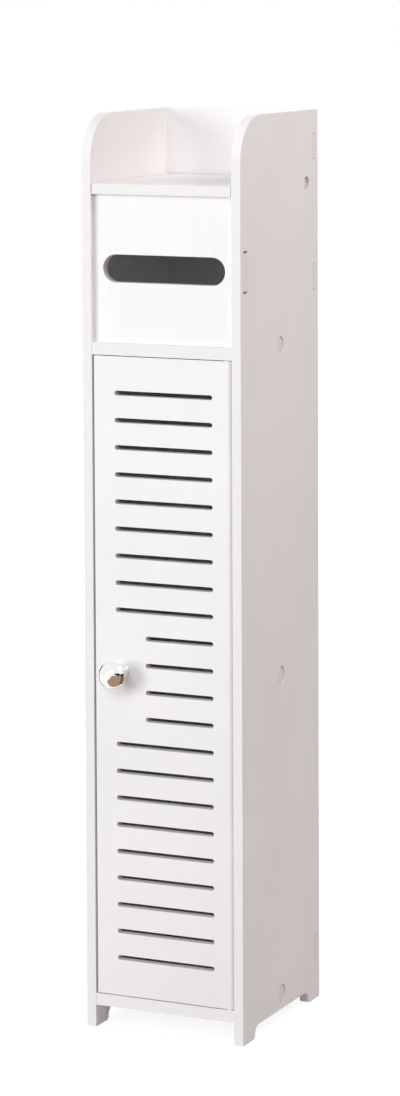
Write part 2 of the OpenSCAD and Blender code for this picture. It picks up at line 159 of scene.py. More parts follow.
class Recipe:
    """A finish while it is being mixed: its material and one short call for each kind of node."""

    def __init__(self, name: str) -> None:
        """Starts an empty material whose patterns lie on Object coordinates.

        Args:
            name: The material's name.
        """
        self.material, self.tree = blank_material(name)
        self.place = add_node(self.tree, "TexCoord").outputs["Object"]

    def stretched(self, x: float, y: float, z: float) -> NodeSocket:
        """Gives coordinates along which a pattern is drawn out where a factor is below 1."""
        return add_node(self.tree, "Mapping", {
            "Vector": self.place, "Scale": (x, y, z)}).outputs["Vector"]

    def noise(self, size_mm: float, place: NodeSocket | None = None,
              **inputs: float) -> NodeSocket:
        """Adds a soft noise, 0 to 1, whose features are size_mm across.

        Args:
            size_mm: The size of one feature.
            place: The coordinates, or None for the piece's own.
            **inputs: The noise's other inputs, such as Detail=2.0.

        Returns:
            The noise's level.
        """
        return add_node(self.tree, "TexNoise", {
            "Vector": place or self.place, "Scale": per_metre(size_mm), **inputs}).outputs["Fac"]

    def cells(self, size_mm: float, place: NodeSocket | None = None,
              **settings: str) -> NodeSocket:
        """Adds round cells and gives the distance from the middle of the nearest one."""
        return add_node(self.tree, "TexVoronoi", {
            "Vector": place or self.place, "Scale": per_metre(size_mm)},
            **settings).outputs["Distance"]

    def spread(self, level: NodeSocket, start: float, end: float,
               to_start: float = 0.0, to_end: float = 1.0) -> NodeSocket:
        """Maps a level's range from start to end onto another range, held at its ends."""
        return add_node(self.tree, "MapRange", {
            "Value": level, "From Min": start, "From Max": end, "To Min": to_start,
            "To Max": to_end}).outputs["Result"]

    def blend(self, level: NodeSocket, low: Any, high: Any) -> NodeSocket:
        """Blends from one colour to another, each a hex colour or a socket, by a level."""
        low, high = (linear(part) if isinstance(part, str) else part for part in (low, high))
        return add_node(self.tree, "Mix", {"Factor": level, "A": low, "B": high},
                        data_type="RGBA").outputs["Result"]

    def joined(self, operation: str, first: NodeSocket, second: NodeSocket) -> NodeSocket:
        """Joins two levels by an operation such as "ADD" or "MULTIPLY"."""
        return add_node(self.tree, "Math", {0: first, 1: second},
                        operation=operation).outputs["Value"]

    def relief(self, height: NodeSocket, depth_mm: float, sunk: bool = False,
               over: NodeSocket | None = None) -> NodeSocket:
        """Adds a relief of a real depth.

        Args:
            height: The level that gives the shape.
            depth_mm: How deep the level's range from 0 to 1 is.
            sunk: Whether a high level lies deep instead of standing proud.
            over: The relief that this one is laid over.

        Returns:
            The normal.
        """
        inputs = {"Height": height, "Distance": depth_mm * MM, "Strength": 1.0}
        if over is not None:
            inputs["Normal"] = over
        return add_node(self.tree, "Bump", inputs, invert=sunk).outputs["Normal"]

    def finish(self, colour: Any, roughness: Any, normal: NodeSocket,
               **inputs: float) -> Material:
        """Adds the shader and the output.

        Args:
            colour: The base colour, a hex colour or a socket.
            roughness: A number or a socket.
            normal: The relief's normal.
            **inputs: The shader's other inputs, such as Metallic=1.0.

        Returns:
            The finished material.
        """
        base = linear(colour) if isinstance(colour, str) else colour
        shader = add_node(self.tree, "BsdfPrincipled", {
            "Base Color": base, "Roughness": roughness, "Normal": normal, **inputs})
        add_node(self.tree, "OutputMaterial", {"Surface": shader.outputs["BSDF"]})
        return self.material


@dataclass(frozen=True)
class FoamedPvcBoard:
    """Foamed PVC board: a closed, satin, extruded skin over a fine-celled core.

    The skin gives the eye a soft wide sheen, with a faint orange peel and faint draw lines along
    the board. The routed edges are duller and very slightly creamier, with open cells.
    """

    name: str
    skin: str = "#f4f2f2"
    skin_shade: str = "#efeded"
    core: str = "#ebe8e6"
    skin_roughness: float = 0.42
    core_roughness: float = 0.60
    # The peel is 1 to 2 mm across on real board; it is drawn at 4 mm so that it shows
    peel_mm: float = 4.0
    peel_depth_mm: float = 0.022
    # The open cells are 0.1 to 0.3 mm across on real board; they are drawn at 0.7 mm
    cell_mm: float = 0.7
    cell_depth_mm: float = 0.05
    cloud_mm: float = 120.0
    draw_line_mm: float = 5.0

    def build(self) -> Material:
        """Builds the material, which reads the piece's attribute "cut" to find its edges."""
        mix = Recipe(self.name)
        cut = add_node(mix.tree, "Attribute", attribute_name="cut").outputs["Fac"]
        cloud = mix.spread(mix.noise(self.cloud_mm, Detail=2.0), 0.35, 0.65)
        lines = mix.noise(self.draw_line_mm, mix.stretched(1.0, 1.0, 0.02), Detail=3.0)
        peel = mix.noise(self.peel_mm, Detail=1.5, Roughness=0.4)
        cells = mix.cells(self.cell_mm, feature="SMOOTH_F1")
        skin = mix.blend(cloud, self.skin, self.skin_shade)
        pitted = mix.blend(cells, self.core, self.skin)
        sheen = mix.spread(lines, 0.3, 0.7, self.skin_roughness - 0.04,
                           self.skin_roughness + 0.05)
        roughness = add_node(mix.tree, "Mix", {
            "Factor": cut, "A": sheen, "B": self.core_roughness}).outputs["Result"]
        peeled = mix.relief(peel, self.peel_depth_mm)
        celled = mix.relief(mix.joined("MULTIPLY", cells, cut), self.cell_depth_mm,
                            sunk=True, over=peeled)
        return mix.finish(mix.blend(cut, skin, pitted), roughness, celled, IOR=1.53)


@dataclass(frozen=True)
class MouldedNylon:
    """Moulded white nylon: a milky satin face with the fine grain of a spark-eroded mould."""

    name: str
    tone: str = "#eceae8"
    tone_shade: str = "#e6e4e0"
    roughness: float = 0.42
    # A mould's grain is about 0.1 mm; it is drawn at 0.4 mm so that it shows
    grain_mm: float = 0.4
    grain_depth_mm: float = 0.008
    flow_mm: float = 14.0

    def build(self) -> Material:
        """Builds the material."""
        mix = Recipe(self.name)
        flow = mix.noise(self.flow_mm, Distortion=0.6)
        grain = mix.noise(self.grain_mm, Detail=3.0)
        return mix.finish(
            mix.blend(flow, self.tone, self.tone_shade),
            mix.spread(grain, 0.0, 1.0, self.roughness - 0.06, self.roughness + 0.06),
            mix.relief(grain, self.grain_depth_mm), IOR=1.53)


@dataclass(frozen=True)
class ChromePlate:
    """Mirror chrome plate on die-cast zinc: a bright mirror with the least haze of polishing."""

    name: str
    tone: str = "#f2f2f2"
    roughness: float = 0.035
    # Polishing marks are far finer than this; the haze is drawn in patches of 3 mm
    haze_mm: float = 3.0
    ripple_mm: float = 9.0
    ripple_depth_mm: float = 0.012

    def build(self) -> Material:
        """Builds the material."""
        mix = Recipe(self.name)
        haze = mix.noise(self.haze_mm, Detail=4.0)
        return mix.finish(
            self.tone, mix.spread(haze, 0.4, 0.75, self.roughness, self.roughness + 0.05),
            mix.relief(mix.noise(self.ripple_mm, Detail=0.0), self.ripple_depth_mm),
            Metallic=1.0)


@dataclass(frozen=True)
class ZincPlatedSteel:
    """Bright zinc plate on steel: a soft grey gleam with a faint cool and warm passivation."""

    name: str
    tone: str = "#b9bcc0"
    tone_warm: str = "#c2bdb0"
    roughness: float = 0.32
    bloom_mm: float = 4.0
    # The plate's crystals are finer than 0.05 mm; they are drawn at 0.25 mm
    grain_mm: float = 0.25
    grain_depth_mm: float = 0.006

    def build(self) -> Material:
        """Builds the material."""
        mix = Recipe(self.name)
        bloom = mix.spread(mix.noise(self.bloom_mm, Detail=2.0), 0.45, 0.7)
        grain = mix.noise(self.grain_mm, Detail=2.0)
        return mix.finish(
            mix.blend(bloom, self.tone, self.tone_warm),
            mix.spread(grain, 0.0, 1.0, self.roughness - 0.08, self.roughness + 0.10),
            mix.relief(grain, self.grain_depth_mm), Metallic=1.0)


@dataclass(frozen=True)
class SinteredFerrite:
    """Sintered ferrite magnet: dull charcoal ceramic with a fine open grain."""

    name: str
    tone: str = "#57585c"
    tone_dark: str = "#3f4044"
    roughness: float = 0.72
    # The grain is about 0.1 mm; it is drawn at 0.5 mm so that it shows
    grain_mm: float = 0.5
    grain_depth_mm: float = 0.03

    def build(self) -> Material:
        """Builds the material."""
        mix = Recipe(self.name)
        grain = mix.noise(self.grain_mm, Detail=4.0)
        return mix.finish(mix.blend(grain, self.tone, self.tone_dark), self.roughness,
                          mix.relief(grain, self.grain_depth_mm))


@dataclass(frozen=True)
class TurnedBeech:
    """Turned beech dowel: pale straw wood with long grain and short dark flecks."""

    name: str
    tone: str = "#d9bf94"
    tone_dark: str = "#c39f6e"
    roughness: float = 0.62
    # Growth rings are 1 to 2 mm apart, and the flecks about 1 mm long
    ring_mm: float = 1.4
    ring_depth_mm: float = 0.03
    fleck_mm: float = 0.6

    def build(self) -> Material:
        """Builds the material, whose grain runs along X as the dowels do."""
        mix = Recipe(self.name)
        rings = mix.noise(self.ring_mm, mix.stretched(0.08, 1.0, 1.0), Detail=3.0,
                          Distortion=0.4)
        flecks = mix.cells(self.fleck_mm, mix.stretched(0.3, 1.0, 1.0))
        marks = mix.joined("ADD", rings, mix.spread(flecks, 0.05, 0.3, 0.45, 0.0))
        return mix.finish(mix.blend(marks, self.tone, self.tone_dark), self.roughness,
                          mix.relief(rings, self.ring_depth_mm, sunk=True))


@dataclass(frozen=True)
class WhiteSweep:
    """The studio's floor: plain and pale, and white to the eye where no shadow falls on it."""

    name: str = "white_sweep"
    pale: str = "#d0c7c4"
    # The glow rises away from the feet, where less of the lamps' light falls
    glow_near: float = 0.87
    glow_far: float = 0.94
    near: float = 0.3
    far: float = 2.0
    shade_tone: str = "#8a8a8a"

    def build(self) -> Material:
        """Builds the material: the eye's rays see glow plus a diffuse share that takes shadow."""
        mix = Recipe(self.name)
        tree = mix.tree
        lit = add_node(tree, "BsdfDiffuse", {"Color": linear(self.pale)})
        seen = add_node(tree, "BsdfDiffuse", {"Color": linear(self.shade_tone)})
        away = add_node(tree, "VectorMath", {0: mix.place}, operation="LENGTH").outputs["Value"]
        glow = add_node(tree, "Emission", {"Strength": mix.spread(
            away, self.near, self.far, self.glow_near, self.glow_far)})
        bright = add_node(tree, "AddShader", {
            0: seen.outputs["BSDF"], 1: glow.outputs["Emission"]})
        shader = add_node(tree, "MixShader", {
            0: seen_ray(tree), 1: lit.outputs["BSDF"], 2: bright.outputs["Shader"]})
        add_node(tree, "OutputMaterial", {"Surface": shader.outputs["Shader"]})
        return mix.material


def seen_ray(tree: NodeTree) -> NodeSocket:
    """Gives 1 for the rays that the eye follows: camera, glossy and transmission rays.

    Args:
        tree: The node tree to add the nodes to.

    Returns:
        The output socket.
    """
    path = add_node(tree, "LightPath").outputs
    seen = path["Is Camera Ray"]
    for kind in ("Is Glossy Ray", "Is Transmission Ray"):
        seen = add_node(tree, "Math", {0: seen, 1: path[kind]},
                        operation="MAXIMUM").outputs["Value"]
    return seen


class Finishes:
    """Every finish of the cabinet, each built once and kept by its slot."""

    def __init__(self) -> None:
        """Builds the finishes."""
        self.of: dict[Slot, Material] = {slot: finish.build() for slot, finish in (
            (Slot.BOARD, FoamedPvcBoard("foamed_pvc_board")),
            (Slot.DOOR, FoamedPvcBoard("foamed_pvc_door", "#f2f0f0", "#eeecec")),
            (Slot.NYLON, MouldedNylon("moulded_nylon")),
            (Slot.CHROME, ChromePlate("chrome_plated_zinc")),
            (Slot.ZINC, ZincPlatedSteel("zinc_plated_steel")),
            (Slot.FERRITE, SinteredFerrite("sintered_ferrite")),
            (Slot.BEECH, TurnedBeech("turned_beech")))}


# ----- Surfaces ----------------------------------------------------


def corners(node: str) -> np.ndarray:
    """A CAD node's lowest and highest corners, as two rows in metres."""
    return np.array(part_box(node), dtype=float)


def placed(name: str, data: ID) -> Object:
    """Makes an object of a mesh, lamp or camera and links it to the scene."""
    made = bpy.data.objects.new(name, data)
    bpy.context.scene.collection.objects.link(made)
    return made


def smoothstep(value: np.ndarray) -> np.ndarray:
    """Eases 0 to 1: three times the square less twice the cube, held outside 0 to 1."""
    held = np.clip(value, 0.0, 1.0)
    return held * held * (3.0 - 2.0 * held)


def wound(radius: np.ndarray, angle: np.ndarray, height: np.ndarray) -> np.ndarray:
    """Puts points at a radius, an angle and a height: (r cos a, r sin a, h)."""
    return np.stack([radius * np.cos(angle), radius * np.sin(angle), height + 0.0 * angle],
                    axis=-1)


def revolve(profile: np.ndarray, steps: int = 64) -> np.ndarray:
    """Carries a profile round the local Z axis.

    Args:
        profile: Rows of radius and height.
        steps: Number of angles.

    Returns:
        A grid of points, one row for each of the profile's.
    """
    angle = np.linspace(0.0, TURN, steps, endpoint=False)[None, :]
    return wound(profile[:, :1], angle, profile[:, 1:])


def arc(centre: Sequence[float], radius: float, start: float, end: float,
        steps: int = 10) -> np.ndarray:
    """Points on an arc: the centre plus the radius at each angle.

    Args:
        centre: Radius and height of the arc's centre.
        radius: The arc's radius.
        start: First angle in degrees, from the direction of growing radius towards growing height.
        end: Last angle in degrees.
        steps: Number of points.

    Returns:
        Rows of radius and height.
    """
    angle = np.radians(np.linspace(start, end, steps))[:, None]
    return np.array(centre)[None, :] + radius * np.hstack([np.cos(angle), np.sin(angle)])


def stand(points: np.ndarray, foot: Sequence[float], way: Sequence[float]) -> np.ndarray:
    """Stands a local shape on a point, with its Z axis along a direction.

    Args:
        points: Points whose last axis is local x, y and z.
        foot: Where the local origin goes.
        way: The direction that local Z takes, one of the six axis directions.

    Returns:
        The points in the cabinet's frame.
    """
    up = np.array(way, dtype=float)
    side = np.roll(np.abs(up), 1)
    third = np.cross(up, side)
    return np.array(foot) + points @ np.stack([side, third, up])


def grid_object(name: str, grids: Sequence[np.ndarray], crease: float = 32.0) -> Object:
    """Makes one object of several grids of points, each closed round its columns.

    Every cell of a grid becomes a four-sided face. Doubles are merged, which closes the poles.

    Args:
        name: The object's name.
        grids: Arrays of rows by columns by three.
        crease: Edges sharper than this many degrees stay sharp.

    Returns:
        The object, linked to the scene.
    """
    points, faces, base = [], [], 0
    for grid in grids:
        rows, columns = grid.shape[:2]
        index = base + np.arange(rows * columns).reshape(rows, columns)
        following = np.roll(index, -1, axis=1)
        cells = np.stack([index[:-1], following[:-1], following[1:], index[1:]], axis=-1)
        faces.append(cells.reshape(-1, 4))
        points.append(grid.reshape(-1, 3))
        base += rows * columns
    place, quads = np.concatenate(points), np.concatenate(faces)
    mesh = bpy.data.meshes.new(name)
    mesh.vertices.add(len(place))
    mesh.vertices.foreach_set("co", place.astype(np.float32).ravel())
    mesh.loops.add(quads.size)
    mesh.loops.foreach_set("vertex_index", quads.astype(np.int32).ravel())
    mesh.polygons.add(len(quads))
    mesh.polygons.foreach_set("loop_start", np.arange(0, quads.size, 4, dtype=np.int32))
    mesh.update(calc_edges=True)
    work = bmesh.new()
    work.from_mesh(mesh)
    bmesh.ops.remove_doubles(work, verts=work.verts, dist=1e-7)
    bmesh.ops.recalc_face_normals(work, faces=work.faces)
    work.to_mesh(mesh)
    work.free()
    mesh.polygons.foreach_set("use_smooth", np.ones(len(mesh.polygons), dtype=bool))
    mesh.set_sharp_from_angle(angle=math.radians(crease))
    return placed(name, mesh)


@dataclass
class SoftenedSolid:
    """A copy of a CAD solid with its arrises eased.

    The copy's loose triangles are merged into flat faces, each sharp edge gets its own width of
    easing, and the faces across the board's thickness are marked as cut.
    """

    node: str
    thickness: Axis
    arris_mm: float = 0.5
    # Edges that meet another board stay tight: beyond a distance from the middle, or in a zone
    tight_mm: float = 0.12
    tight_beyond_x: float = math.inf
    tight_zones: Sequence[tuple[Sequence[float], Sequence[float]]] = ()
    segments: int = 3
    # Faces that fold by less than the first are one, and edges that fold by the second are eased
    flat_degrees: float = 0.2
    fold_degrees: float = 25.0

    def build(self) -> Object:
        """Builds the copy with its live bevel.

        Returns:
            The new object, named after the node.
        """
        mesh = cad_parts[self.node].data.copy()
        mesh.name = self.node + "_board"
        work = bmesh.new()
        work.from_mesh(mesh)
        bmesh.ops.remove_doubles(work, verts=work.verts, dist=1e-6)
        bmesh.ops.dissolve_limit(work, angle_limit=math.radians(self.flat_degrees),
                                 verts=work.verts, edges=work.edges,
                                 use_dissolve_boundaries=False)
        work.to_mesh(mesh)
        work.free()
        for spare in ("custom_normal", "UVMap", "sharp_face", "sharp_edge"):
            if spare in mesh.attributes:
                mesh.attributes.remove(mesh.attributes[spare])
        mesh.polygons.foreach_set("use_smooth", np.ones(len(mesh.polygons), dtype=bool))
        self._mark_cut_faces(mesh)
        self._weigh_edges(mesh)
        made = placed(self.node + "_piece", mesh)
        bevel = made.modifiers.new("eased_arrises", "BEVEL")
        bevel.width = self.arris_mm * MM
        bevel.segments = self.segments
        bevel.limit_method = "WEIGHT"
        bevel.miter_outer = "MITER_ARC"
        bevel.use_clamp_overlap = True
        weighted = made.modifiers.new("flat_faces", "WEIGHTED_NORMAL")
        weighted.weight = 60
        return made

    def _mark_cut_faces(self, mesh: Mesh) -> None:
        """Marks faces whose normal is not along the thickness with 1 in the attribute "cut"."""
        normals = np.zeros(len(mesh.polygons) * 3, dtype=np.float32)
        mesh.polygons.foreach_get("normal", normals)
        along = np.abs(normals.reshape(-1, 3)[:, self.thickness.value])
        cut = mesh.attributes.new("cut", "FLOAT", "FACE")
        cut.data.foreach_set("value", (along < 0.7).astype(np.float32))

    def _weigh_edges(self, mesh: Mesh) -> None:
        """Gives each sharp edge its share of the full easing, and none to the rest."""
        ends = np.zeros(len(mesh.edges) * 2, dtype=np.int32)
        mesh.edges.foreach_get("vertices", ends)
        place = np.zeros(len(mesh.vertices) * 3, dtype=np.float32)
        mesh.vertices.foreach_get("co", place)
        pairs = place.reshape(-1, 3)[ends.reshape(-1, 2)]
        middle = pairs.mean(axis=1)
        tight = np.abs(pairs[:, :, 0]).min(axis=1) > self.tight_beyond_x
        for low, high in self.tight_zones:
            tight |= np.all((middle > np.array(low)) & (middle < np.array(high)), axis=1)
        share = np.where(tight, self.tight_mm / self.arris_mm, 1.0)
        share *= self._fold_angles(mesh) > math.radians(self.fold_degrees)
        weight = mesh.attributes.new("bevel_weight_edge", "FLOAT", "EDGE")
        weight.data.foreach_set("value", share.astype(np.float32))

    @staticmethod
    def _fold_angles(mesh: Mesh) -> np.ndarray:
        """The angle between the two faces at each edge, in radians, or 0 where there aren't two."""
        work = bmesh.new()
        work.from_mesh(mesh)
        angles = np.array([edge.calc_face_angle(0.0) for edge in work.edges])
        work.free()
        return angles


@dataclass
class CrossHeadScrew:
    """A cross-recessed screw as one grid, from the middle of its head to the tip.

    Local Z points at the tip, and its 0 is the underside of a pan head or the flat face of a
    countersunk one. The thread is a tooth of the phase height / pitch - angle / turn, added to
    the core's radius.
    """

    head_r: float
    head_h: float
    countersunk: bool
    crest_r: float
    core_r: float
    length: float
    pitch: float
    plain: float = 0.0
    tip: float = 3.0 * MM
    recess: float = 1.3 * MM
    rows_per_pitch: float = 7.0
    tooth_share: float = 0.55
    face_share: float = 0.93

    def grid(self, steps: int = 40) -> np.ndarray:
        """Works out the screw's surface.

        Args:
            steps: Number of angles round the axis.

        Returns:
            A grid of points about local Z.
        """
        angle = np.linspace(0.0, TURN, steps, endpoint=False)[None, :]
        crown = self._crown(angle)
        rows = math.ceil((self.length - self.plain) / self.pitch * self.rows_per_pitch)
        height = np.linspace(self.plain, self.length, rows)[:, None]
        phase = np.mod(height / self.pitch - angle / TURN, 1.0)
        tooth = np.clip(1.0 - np.abs(2.0 * phase - 1.0) / self.tooth_share, 0.0, 1.0)
        tooth = tooth * np.clip((height - self.plain) / self.pitch, 0.0, 1.0)
        taper = np.clip((self.length - height) / self.tip, 0.0, 1.0) ** 0.6
        radius = (self.core_r + (self.crest_r - self.core_r) * tooth) * taper
        return np.concatenate([crown, wound(radius, angle, height)])

    def _crown(self, angle: np.ndarray) -> np.ndarray:
        """The head: a low dome or a flat face with a cross recess, its rim and its underside."""
        face_r = self.head_r * self.face_share
        out = np.linspace(0.0, 1.0, 15)[:, None] * face_r
        if self.countersunk:
            top = 0.0 * out
            rim = np.array([[self.head_r, 0.06 * MM], [self.core_r, self.head_h]])
        else:
            top = -self.head_h + 0.35 * self.head_h * (out / self.head_r) ** 2.2
            rim = np.concatenate([
                arc([face_r, -self.head_h * 0.45], self.head_r - face_r, -60, 0, 4),
                [[self.head_r, 0.0], [self.core_r, 0.0]]])
        east, north = out * np.cos(angle), out * np.sin(angle)
        long_reach, half_width = 0.60 * self.head_r, 0.13 * self.head_r
        arms = [
            smoothstep((long_reach - np.abs(u)) / (0.2 * self.head_r))
            * smoothstep((1.6 * half_width - np.abs(v)) / (0.9 * half_width))
            for u, v in ((east, north), (north, east))]
        sunk = self.recess * np.maximum(arms[0], arms[1])
        face = np.stack([east, north, top + sunk + 0.0 * angle], axis=-1)
        return np.concatenate([face, revolve(rim, angle.shape[1])])


# ----- Sub-assemblies ----------------------------------------------


@dataclass
class Assembly:
    """A part of the cabinet, with the finishes that its pieces take."""

    finishes: Finishes

    def dress(self, made: Object, slot: Slot, body: Body, *nodes: str) -> Object:
        """Gives a piece its finish, its body and the CAD nodes that it stands for.

        Args:
            made: The piece.
            slot: The record's material slot.
            body: What the piece rides on.
            *nodes: The CAD nodes that it replaces.

        Returns:
            The piece.
        """
        made.data.materials.clear()
        made.data.materials.append(self.finishes.of[slot])
        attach(made, body.value)
        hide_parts(*nodes)
        LOG.info("%s rides on %s, in %s: %d faces", made.name, body.value, slot.value,
                 len(made.data.polygons))
        return made


@dataclass
class Carcass(Assembly):
    """Side panels, back panel, three shelves and the dispenser front, in foamed PVC board."""

    arris_mm: float = 0.55
    butt_mm: float = 0.12
    # The boards whose tabs are let into the side panels, and the heights that hold all of them
    let_in: tuple[tuple[str, float, float], ...] = (
        ("dispenser_front", 0.62, 0.71), ("back_panel", 0.02, 0.79))
    clear: float = 1.0 * MM

    def build(self) -> list[Object]:
        """Builds every board of the carcass.

        Returns:
            The pieces.
        """
        # Beyond this distance from the middle, a board's edges butt against a side panel
        butts_beyond = corners("bottom_shelf")[1, 0] - 0.1 * MM
        zones = self._mortise_zones()
        boards = [
            SoftenedSolid(side + "_side_panel", Axis.X, self.arris_mm, self.butt_mm,
                          tight_zones=zones) for side in ("left", "right")]
        boards += [
            SoftenedSolid(node, thickness, self.arris_mm, self.butt_mm, butts_beyond)
            for node, thickness in (
                ("back_panel", Axis.Y), ("bottom_shelf", Axis.Z), ("inner_shelf", Axis.Z),
                ("middle_shelf", Axis.Z), ("dispenser_front", Axis.Y))]
        return [self.dress(board.build(), Slot.BOARD, Body.CARCASS, board.node)
                for board in boards]

    def _mortise_zones(self) -> list[tuple[np.ndarray, np.ndarray]]:
        """The boxes round the mortises in the side panels, whose edges stay sharp."""
        zones = []
        for node, low_z, high_z in self.let_in:
            (_, front, _), (_, rear, _) = corners(node)
            zones.append((np.array([-math.inf, front - self.clear, low_z]),
                          np.array([math.inf, rear + self.clear, high_z])))
        return zones


@dataclass
class LidFlap(Assembly):
    """The lid and the two nylon pins that it turns on."""

    journal_r: float = 4.0 * MM
    spigot_r: float = 2.5 * MM
    spigot_l: float = 16.0 * MM
    chamfer: float = 0.5 * MM
    edge: float = 0.2 * MM
    # The dimple at the gate is the bottom of a ball whose middle lies above the pin's face
    dimple_r: float = 1.3 * MM
    ball_r: float = 1.45 * MM
    ball_lift: float = 0.9 * MM

    def build(self) -> list[Object]:
        """Builds the lid and its pins."""
        lid = SoftenedSolid("lid", Axis.Z, 0.6, 0.12)
        return [
            self.dress(lid.build(), Slot.BOARD, Body.LID, "lid"),
            self.dress(self._pins(), Slot.NYLON, Body.LID, "lid_pivot_pins"),
        ]

    def _pins(self) -> Object:
        """Two stepped pins, chamfered at both ends and dimpled where the mould's gate was."""
        low, high = corners("lid_pivot_pins")
        axis_y, axis_z = (low[1:] + high[1:]) / 2.0
        start = corners("lid")[1, 0]
        reach = high[0] - start
        profile = np.concatenate([
            [[0.0, -self.spigot_l], [self.spigot_r - self.chamfer, -self.spigot_l],
             [self.spigot_r, self.chamfer - self.spigot_l], [self.spigot_r, 0.0],
             [self.journal_r - self.edge, 0.0], [self.journal_r, self.edge]],
            arc([self.journal_r - self.chamfer, reach - self.chamfer], self.chamfer, 0, 90, 6),
            [[self.dimple_r, reach]],
            arc([0.0, reach + self.ball_lift], self.ball_r, -45, -90, 6),
        ])
        profile[:, 0] = np.maximum(profile[:, 0], 0.0)
        shape = revolve(profile, 56)
        return grid_object("lid_pivot_pin_pair", [
            stand(shape, [start, axis_y, axis_z], [1, 0, 0]),
            stand(shape, [-start, axis_y, axis_z], [-1, 0, 0])])


@dataclass
class DoorLeaf(Assembly):
    """The slatted door and the two nylon pins that it turns on."""

    pin_r: float = 2.5 * MM
    pin_bite: float = 14.0 * MM
    collar_r: float = 3.8 * MM
    chamfer: float = 0.5 * MM
    edge: float = 0.1 * MM

    def build(self) -> list[Object]:
        """Builds the door and its pins."""
        door = SoftenedSolid("door", Axis.Y, 0.45, 0.12)
        foot, head = corners("door")[:, 2]
        return [
            self.dress(door.build(), Slot.DOOR, Body.DOOR, "door"),
            self._pin("upper_pivot_pin", head, 1.0, (corners("middle_shelf")[0, 2] - head) / 2.0),
            self._pin("lower_pivot_pin", foot, -1.0, foot - corners("bottom_shelf")[1, 2]),
        ]

    def _pin(self, node: str, door_end: float, way: float, collar: float) -> Object:
        """A pin with chamfered ends and a collar that stands on the door's end.

        Args:
            node: The CAD node that it replaces.
            door_end: Height of the door's end there.
            way: 1 where the pin points up out of the door, and -1 where it points down.
            collar: Thickness of the collar.

        Returns:
            The pin.
        """
        low, high = corners(node)
        inside = min(high[2] - low[2], self.pin_bite)
        out = (high[2] - door_end) if way > 0 else (door_end - low[2])
        axis_x, axis_y = (low[:2] + high[:2]) / 2.0
        profile = np.concatenate([
            [[0.0, -inside], [self.pin_r - self.chamfer, -inside],
             [self.pin_r, self.chamfer - inside], [self.pin_r, 0.0],
             [self.collar_r - self.edge, 0.0], [self.collar_r, self.edge],
             [self.collar_r, collar - self.edge], [self.collar_r - self.edge, collar],
             [self.pin_r, collar]],
            arc([self.pin_r - self.chamfer, out - self.chamfer], self.chamfer, 0, 90, 5),
            [[0.0, out]],
        ])
        made = grid_object(node + "_turned", [
            stand(revolve(profile, 48), [axis_x, axis_y, door_end], [0, 0, way])])
        return self.dress(made, Slot.NYLON, Body.DOOR, node)


@dataclass
class Knob(Assembly):
    """The chromed mushroom knob and the screw that holds it through the door."""

    foot_r: float = 7.25 * MM
    foot_round: float = 0.6 * MM
    neck_r: float = 4.2 * MM
    underside: float = 1.2 * MM
    flare_inset: float = 0.3 * MM
    dome_h: float = 8.5 * MM
    dome_inset: float = 1.2 * MM
    rim_r: float = 2.0 * MM
    bore_r: float = 2.05 * MM
    bore_depth: float = 12.0 * MM

    def build(self) -> list[Object]:
        """Builds the knob and its screw."""
        return [
            self.dress(self._knob(), Slot.CHROME, Body.DOOR, "knob"),
            self.dress(self._screw(), Slot.ZINC, Body.DOOR, "knob_screw"),
        ]

    def _knob(self) -> Object:
        """The knob: foot, coved neck, flared underside, rim and domed face, as one profile."""
        low, high = corners("knob")
        head_r, reach = (high[0] - low[0]) / 2.0, high[1] - low[1]
        rim_z = reach - self.dome_h
        ball = (head_r ** 2 + self.dome_h ** 2) / (2.0 * self.dome_h)
        foot = arc([self.foot_r - self.foot_round, self.foot_round], self.foot_round, -90, 60, 8)
        # The neck follows a half wave from the foot in to its least radius and out to the rim
        rise = np.linspace(0.0, 1.0, 26)[:, None]
        neck_z = foot[-1, 1] + rise * (rim_z - self.underside - foot[-1, 1])
        waist = 0.5 - 0.5 * np.cos(TURN * rise ** 0.92)
        flare = foot[-1, 0] + (head_r - self.flare_inset - foot[-1, 0]) * smoothstep(rise) ** 1.5
        neck = np.hstack([flare - (flare - self.neck_r) * waist ** 0.8 * (1 - rise ** 6), neck_z])
        rim = arc([head_r - self.rim_r, rim_z], self.rim_r, -30, 38, 8)
        top = math.degrees(math.asin((head_r - self.dome_inset) / ball))
        dome = arc([0.0, reach - ball], ball, 90 - top, 90, 22)
        dome[-1, 0] = 0.0
        bore = np.array([[0.0, self.bore_depth], [self.bore_r, self.bore_depth],
                         [self.bore_r, 0.0]])
        profile = np.concatenate([bore, foot, neck[1:], rim, dome])
        centre = (low + high) / 2.0
        return grid_object("chrome_knob", [
            stand(revolve(profile, 96), [centre[0], high[1], centre[2]], [0, -1, 0])], 50.0)

    def _screw(self) -> Object:
        """The pan-headed machine screw, its head on the door's back."""
        low, high = corners("knob_screw")
        head_h = 2.4 * MM
        face = high[1] - head_h
        centre = (low + high) / 2.0
        screw = CrossHeadScrew(
            head_r=(high[0] - low[0]) / 2.0, head_h=head_h, countersunk=False,
            crest_r=2.0 * MM, core_r=1.65 * MM, length=face - low[1], pitch=0.7 * MM,
            plain=0.8 * MM, tip=0.5 * MM)
        return grid_object("knob_machine_screw", [
            stand(screw.grid(), [centre[0], face, centre[2]], [0, -1, 0])])


